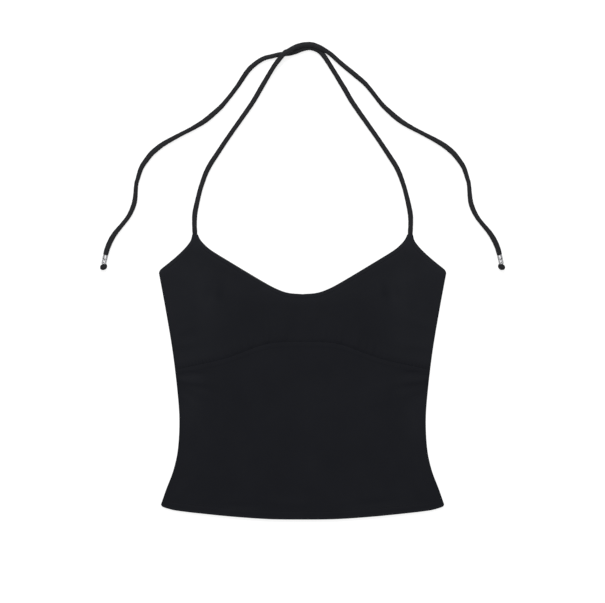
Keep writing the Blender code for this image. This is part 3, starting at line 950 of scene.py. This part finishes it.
def stitch_mesh(name, rows, levels, material, face):
    """All of these stitches as one mesh of small threads that dive into the cloth at both ends."""
    ends = np.vstack(rows)
    height = levels(ends.reshape(-1, 2))[face].reshape(-1, 2)
    out = 1 if face else -1
    share, width, rise = np.array(STITCH_RINGS).T
    width, rise = STITCH_RADIUS * width, out * STITCH_RADIUS * rise
    run = ends[:, 1] - ends[:, 0]
    aside = left_of(run)
    turn = full_turn(STITCH_SIDES)
    centre = ends[:, :1] + share[None, :, None] * run[:, None]
    level = height[:, :1] + share * (height[:, 1:] - height[:, :1]) + rise
    plan = centre[:, :, None] + (width[:, None] * np.cos(turn))[None, ..., None] * aside[:, None, None]
    up = level[:, :, None] + (width[:, None] * np.sin(turn))[None]
    vertices = np.concatenate([plan, up[..., None]], axis=-1).reshape(-1, 3)
    index = np.arange(len(vertices)).reshape(len(ends), len(share), STITCH_SIDES)
    beside = np.roll(index, -1, axis=2)
    walls = np.stack([index[:, :-1], beside[:, :-1], beside[:, 1:], index[:, 1:]], axis=-1).reshape(-1, 4)
    caps = index[:, 0, ::-1].tolist() + index[:, -1].tolist()
    return add_mesh(name, vertices, walls.tolist() + caps, material)


# ---- ties and their ends


def end_direction(side):
    return np.array((side * math.sin(END_SLANT), -math.cos(END_SLANT), 0.0))


def tie_points(side, arch):
    rest = TIE_DIAMETER / 2 + TIE_CLEARANCE
    return np.array([(side * r.across, r.up, rest + r.lift) for r in INNER_RUN + arch + OUTER_RUN])


def make_tie(name, side, arch, phase, material):
    """side is that of the wing it leaves, and it ends on the other. Returns the tie and its centre line."""
    points = tie_points(side, arch)
    root = points[0] + (-side * ROOT_INWARD, -ROOT_INSIDE, 0)
    into_bead = points[-1] + TIE_INTO_BEAD * end_direction(-side)
    centres = line_through([root, *points, into_bead], TIE_RING_STEP)
    along = lengths_along(centres)
    centres[:, 2] -= ROOT_DROP * fade(along / ROOT_RISE_LENGTH)

    tangent = directions_along(centres)
    bend = np.cross(tangent, np.gradient(tangent, axis=0))[:, 2] / np.gradient(along)
    bend = np.convolve(bend, np.ones(BEND_WINDOW) / BEND_WINDOW, mode="same")
    turn = full_turn(TIE_SIDES)
    seam = SEAM_TURN + wave_at(SEAM_SWING, along, phase) + wave_at(SEAM_WAVER, along)
    from_seam = (turn[None] - seam[:, None] + math.pi) % (2 * math.pi) - math.pi
    inner = np.maximum(0, -np.sign(bend)[:, None] * np.cos(turn)[None])
    strength = np.clip(np.abs(bend) * SHARP_BEND, 0, 1)[:, None]
    way = along[:, None]
    change = -SEAM_DEPTH * bell(from_seam / SEAM_HALF_ANGLE)
    slub = np.sin(way / SLUB_PITCH * 2 * math.pi + wave_at(SLUB_WANDER, way) + 2 * np.sin(turn))
    fine = np.sin(way / FINE_SLUB_LENGTH + phase + FINE_SLUB_TURNS * turn)
    change += SLUB * (slub + fine * np.sin(way / FINE_SLUB_CHANGE + phase))
    wrinkle = np.sin(way / WRINKLE_PITCH * 2 * math.pi + wave_at(WRINKLE_WANDER, way))
    change -= WRINKLE * strength * inner * wrinkle
    reach = along * (TIE_SIZES[-1].along / along[-1])
    wide, high = value_at(TIE_SIZES, reach), value_at(TIE_SIZES, reach, column=2)
    radii = np.stack([wide[:, None] + change, high[:, None] + change], axis=-1)
    return tube_mesh(name, centres, radii, material), centres


def make_bead(name, side, place, along, material):
    """Two rings of domed bosses between raised rims, round a straight bore. The beads mirror each other."""
    share = np.linspace(0, 1, BEAD_RINGS)
    turn = full_turn(BEAD_SIDES)
    distance = share * BEAD_LENGTH
    body = BEAD_BODY + BEAD_LOBE * np.sin(2 * math.pi * share) ** 2
    rims = np.zeros_like(share)
    for middle, rise in ((RIM_HALF_LENGTH, 1), (BEAD_LENGTH - RIM_HALF_LENGTH, FAR_RIM_SHARE)):
        rims += rise * np.sqrt(np.maximum(0, 1 - ((distance - middle) / RIM_HALF_LENGTH) ** 2))
    spacing = 2 * math.pi / BOSSES
    from_inside = turn if side > 0 else math.pi - turn
    dome = np.zeros((BEAD_RINGS, BEAD_SIDES))
    for ring in BOSS_RINGS:
        from_boss = (from_inside - ring.first + spacing / 2) % spacing - spacing / 2
        aside = (from_boss / BOSS_HALF_ANGLE) ** 2
        ahead = ((distance - ring.share * BEAD_LENGTH) / BOSS_HALF_LENGTH) ** 2
        dome = np.maximum(dome, np.maximum(0, 1 - aside[None] - ahead[:, None]))
    raised = np.maximum(dome**BOSS_POWER, (rims * RIM_RISE / BOSS_RISE)[:, None])
    radius = body[:, None] + BOSS_RISE * raised
    round_it = np.cos(turn)[:, None] * np.cross(along, UP) + np.sin(turn)[:, None] * UP
    outer = place + distance[:, None, None] * along + radius[..., None] * round_it
    bore = np.stack([place + end * along + BEAD_BORE * round_it for end in (BEAD_LENGTH, 0)])
    index = np.arange((BEAD_RINGS + 2) * BEAD_SIDES).reshape(BEAD_RINGS + 2, BEAD_SIDES)
    faces = wall_quads(np.vstack([index, index[:1]]))
    bead = add_mesh(name, np.vstack([outer, bore]).reshape(-1, 3), faces.tolist(), material)
    shown = np.clip(1 - RECESS_CONTRAST * raised, 0, 1).ravel()
    add_value(bead.data, "recess", np.concatenate([shown, np.ones(2 * BEAD_SIDES)]))
    return bead


def make_knot(name, side, place, along, material):
    """The tie's end, drawn thin through the bead and knotted on itself, its strands wound round."""
    cos, sin = math.cos(side * KNOT_TURN), math.sin(side * KNOT_TURN)
    lean = np.array((cos * along[0] - sin * along[1], sin * along[0] + cos * along[1], 0))
    middle = place + (BEAD_LENGTH + KNOT_MIDDLE) * along
    neck = (BEAD_LENGTH * KNOT_ROOT_SHARE + KNOT_MIDDLE, *KNOT_NECK)
    ways = [middle - back * along for back in neck]
    ways += [middle + on * lean for on in (-KNOT_LEAN_START, KNOT_LEAN_START, KNOT_SIZES[-1].along)]
    centres = line_through(ways, 0.0001)
    long = lengths_along(centres)[-1]
    reach = long * (1 - (1 - np.linspace(0, 1, KNOT_RINGS)) ** KNOT_RING_POWER)
    centres = points_along(centres, reach)
    from_middle = (reach - (long - KNOT_SIZES[-1].along))[:, None]
    turn = full_turn(KNOT_SIDES)
    wide, high = value_at(KNOT_SIZES, from_middle), value_at(KNOT_SIZES, from_middle, column=2)
    swing = KNOT_SWING * np.sin(turn + KNOT_SWING_PHASE)
    strand = (from_middle / KNOT_STRAND_PITCH + KNOT_STRANDS * turn / (2 * math.pi) + swing) % 1
    crown = np.sqrt(np.maximum(0, 1 - (2 * strand - 1) ** 2))
    shown = smooth_step((from_middle - KNOT_WOUND_FROM) / KNOT_WOUND_FADE_IN)
    shown = shown * fade((from_middle - KNOT_WOUND_TO) / KNOT_WOUND_FADE_OUT)
    groove = KNOT_GROOVE * (crown - 1) * shown
    lump = np.sin(from_middle / KNOT_LUMP_LENGTH + turn) * np.sin(3 * turn + from_middle / KNOT_LUMP_DRIFT)
    groove += KNOT_LUMP * lump
    return tube_mesh(name, centres, np.stack([wide + groove, high + groove], axis=-1), material)


# ---- finishes


def feed(tree, target, inputs):
    """Joins each of a node's inputs to a socket, or sets it to a value."""
    for key, value in inputs.items():
        if isinstance(value, bpy.types.NodeSocket):
            tree.links.new(value, target.inputs[key])
        else:
            target.inputs[key].default_value = value


def node(tree, kind, inputs=None, **settings):
    made = tree.nodes.new("ShaderNode" + kind)
    for key, value in settings.items():
        setattr(made, key, value)
    feed(tree, made, inputs or {})
    return made


def maths(tree, operation, first, second=0.0):
    return node(tree, "Math", {0: first, 1: second}, operation=operation).outputs[0]


def noise(tree, place, scale, detail=2.0, roughness=0.5):
    inputs = {"Vector": place, "Scale": scale, "Detail": detail, "Roughness": roughness}
    return node(tree, "TexNoise", inputs).outputs[0]


def between_colours(tree, value, low, high, low_at=0.0, high_at=1.0):
    """From one colour to another as a value goes from low_at to high_at."""
    ramp = node(tree, "ValToRGB", {"Fac": value})
    for element, colour, at in zip(ramp.color_ramp.elements, (low, high), (low_at, high_at)):
        element.position, element.color = at, (*colour, 1)
    return ramp.outputs[0]


def bumps(tree, height, depth, strength):
    return node(tree, "Bump", {"Strength": strength, "Distance": depth, "Height": height}).outputs[0]


def new_material(name):
    """A material, its nodes and its shader."""
    material = bpy.data.materials.new(name)
    material.use_nodes = True
    return material, material.node_tree, material.node_tree.nodes["Principled BSDF"]


def knit_height(tree, across, along):
    """Two slanting legs in each stitch, which make the columns of Vs on a jersey's face."""
    in_wale = maths(tree, "FRACT", maths(tree, "DIVIDE", across, WALE))
    from_middle = maths(tree, "ABSOLUTE", maths(tree, "SUBTRACT", in_wale, 0.5))
    slant = maths(tree, "MULTIPLY", from_middle, LEG_SLANT)
    row = maths(tree, "ADD", maths(tree, "DIVIDE", along, COURSE), slant)
    leg = maths(tree, "SINE", maths(tree, "MULTIPLY", maths(tree, "FRACT", row), math.pi))
    off_leg = maths(tree, "ABSOLUTE", maths(tree, "SUBTRACT", from_middle, 0.25))
    off_leg = maths(tree, "MULTIPLY", off_leg, 4)
    ridge = maths(tree, "SUBTRACT", 1, maths(tree, "MULTIPLY", off_leg, off_leg))
    return maths(tree, "ADD", maths(tree, "MULTIPLY", leg, 0.5), maths(tree, "MULTIPLY", ridge, 0.5))


def jersey_finish(jersey, on_tube=False):
    """Matt knitted jersey with a soft sheen, a little unevenness in its dye and yarn, and painted light
    where its colour is paler.
    """
    material, tree, shader = new_material(jersey.slot)
    place = node(tree, "TexCoord").outputs["Object"]
    knit_place = node(tree, "UVMap", uv_map="tube").outputs[0] if on_tube else place
    parts = node(tree, "SeparateXYZ", {0: knit_place})
    height = knit_height(tree, parts.outputs[0], parts.outputs[1])
    dye = noise(tree, place, DYE_SCALE, detail=3.0, roughness=0.6)
    # the painted light, under the name stretch; the ties carry none
    stretch = node(tree, "Attribute", attribute_name="stretch").outputs["Fac"]
    mixed = maths(tree, "MULTIPLY", dye, DYE_SHARE)
    shares = ((noise(tree, place, YARN_SCALE), YARN_SHARE), (height, KNIT_SHARE), (stretch, PAINTED_LIGHT_SHARE))
    for value, share in shares:
        mixed = maths(tree, "ADD", mixed, maths(tree, "MULTIPLY", value, share))
    unlit_colour, lit_colour = np.multiply(jersey.colour, UNLIT_END), np.multiply(jersey.colour, LIT_END)
    fuzz = maths(tree, "MULTIPLY", noise(tree, place, FUZZ_SCALE), FUZZ_SHARE)
    look = {
        "Base Color": between_colours(tree, mixed, unlit_colour, lit_colour, UNLIT_END_AT, LIT_END_AT),
        "Normal": bumps(tree, maths(tree, "ADD", height, fuzz), KNIT_DEPTH, KNIT_STRENGTH),
        "Roughness": JERSEY_ROUGHNESS,
        "Specular IOR Level": jersey.specular,
        "Sheen Weight": jersey.sheen,
        "Sheen Roughness": SHEEN_ROUGHNESS,
        "Sheen Tint": SHEEN_TINT,
    }
    feed(tree, shader, look)
    return material


def thread_finish():
    """Twisted sewing thread, with painted shade between its plies."""
    material, tree, shader = new_material("sewing_thread")
    place = node(tree, "TexCoord").outputs["Object"]
    inputs = {"Vector": place, "Scale": PLY_SCALE, "Distortion": PLY_DISTORTION}
    ply = node(tree, "TexWave", inputs, bands_direction="DIAGONAL").outputs[1]
    dark, pale = np.multiply(THREAD_COLOUR, THREAD_DARK), np.multiply(THREAD_COLOUR, THREAD_PALE)
    look = {
        "Base Color": between_colours(tree, ply, dark, pale),
        "Normal": bumps(tree, ply, PLY_DEPTH, PLY_STRENGTH),
        "Roughness": THREAD_ROUGHNESS,
        "Specular IOR Level": THREAD_SPECULAR,
    }
    feed(tree, shader, look)
    return material


def silver_finish():
    """Bright on the bosses and rims, oxidised in the hollows, with fine wear."""
    material, tree, shader = new_material("embossed_silver")
    place = node(tree, "TexCoord").outputs["Object"]
    recess = node(tree, "Attribute", attribute_name="recess").outputs["Fac"]
    wear = noise(tree, place, WEAR_SCALE, detail=3.0)
    uneven = maths(tree, "MULTIPLY", maths(tree, "SUBTRACT", wear, 0.5), WEAR_SHARE)
    dark = maths(tree, "ADD", recess, uneven)
    roughness = {"Value": dark, "To Min": SILVER_ROUGHNESS, "To Max": OXIDE_ROUGHNESS}
    look = {
        "Base Color": between_colours(tree, dark, SILVER, OXIDE, SILVER_AT, OXIDE_AT),
        "Roughness": node(tree, "MapRange", roughness).outputs[0],
        "Normal": bumps(tree, wear, WEAR_DEPTH, WEAR_STRENGTH),
        "Metallic": 1.0,
        "Specular Tint": SILVER_EDGE_TINT,
    }
    feed(tree, shader, look)
    return material


# ---- view and stage


def make_camera():
    data = bpy.data.cameras.new("overhead")
    data.lens, data.sensor_width = LENS, SENSOR
    camera = add_object("overhead", data)
    camera.location = (VIEW_ACROSS, VIEW_UP, FRONT_LEVEL + IMAGE_WIDTH_SEEN * LENS / SENSOR)
    bpy.context.scene.camera = camera


def make_floor():
    half = FLOOR_SIZE / 2
    corners = [(-half, -half), (half, -half), (half, half), (-half, half)]
    mesh = bpy.data.meshes.new("floor")
    mesh.from_pydata([(x, y, FLOOR_LEVEL) for x, y in corners], [], [(0, 1, 2, 3)])
    material, tree, shader = new_material("pale_floor")
    look = {
        "Base Color": (FLOOR_GREY, FLOOR_GREY, FLOOR_GREY, 1),
        "Emission Color": (1, 1, 1, 1),
        "Emission Strength": FLOOR_GLOW,
        "Roughness": 1.0,
        "Specular IOR Level": 0.0,
    }
    feed(tree, shader, look)
    mesh.materials.append(material)
    add_object("floor", mesh)


def make_light():
    """The soft boxes, and a pale studio all round."""
    world = bpy.data.worlds.new("studio")
    world.use_nodes = True
    background = world.node_tree.nodes["Background"]
    feed(world.node_tree, background, {"Color": (1, 1, 1, 1), "Strength": STUDIO_GLOW})
    bpy.context.scene.world = world
    for box in LIGHTS:
        data = bpy.data.lights.new(box.name, "AREA")
        data.shape, data.size, data.energy = "DISK", box.size, box.power
        light = add_object(box.name, data)
        light.location = box.place
        away = Vector(LIT_PLACE) - Vector(box.place)
        light.rotation_euler = away.to_track_quat("-Z", "Y").to_euler()
    bpy.context.scene.view_settings.view_transform = "Standard"


# ---- the top

make_camera()
tie_jersey = jersey_finish(TIE_LIT_JERSEY, on_tube=True)
silver = silver_finish()
for wing, side, arch, phase in (("left", -1, OVER_ARCH, 0.4), ("right", 1, UNDER_ARCH, 2.1)):
    other = "right" if wing == "left" else "left"
    tie, path = make_tie(f"tie_{wing}", side, arch, phase, tie_jersey)
    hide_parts(f"strap_{wing}")
    along = end_direction(-side)
    place = tie_points(side, arch)[-1] + END_GAP * along
    bead = make_bead(f"tie_bead_{other}", -side, place, along, silver)
    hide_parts(f"bead_{other}")
    knot = make_knot(f"tie_knot_{other}", side, place, along, tie_jersey)
    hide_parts(f"knot_{other}")

make_floor()
make_light()

thread = thread_finish()
for replaced, jersey, make in (
    ("front_bust", BUST_JERSEY, make_bust),
    ("front_lower", MIDRIFF_JERSEY, make_midriff),
    ("back", BACK_JERSEY, make_back),
):
    cloth, stitches = make((jersey_finish(jersey), thread))
    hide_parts(replaced)
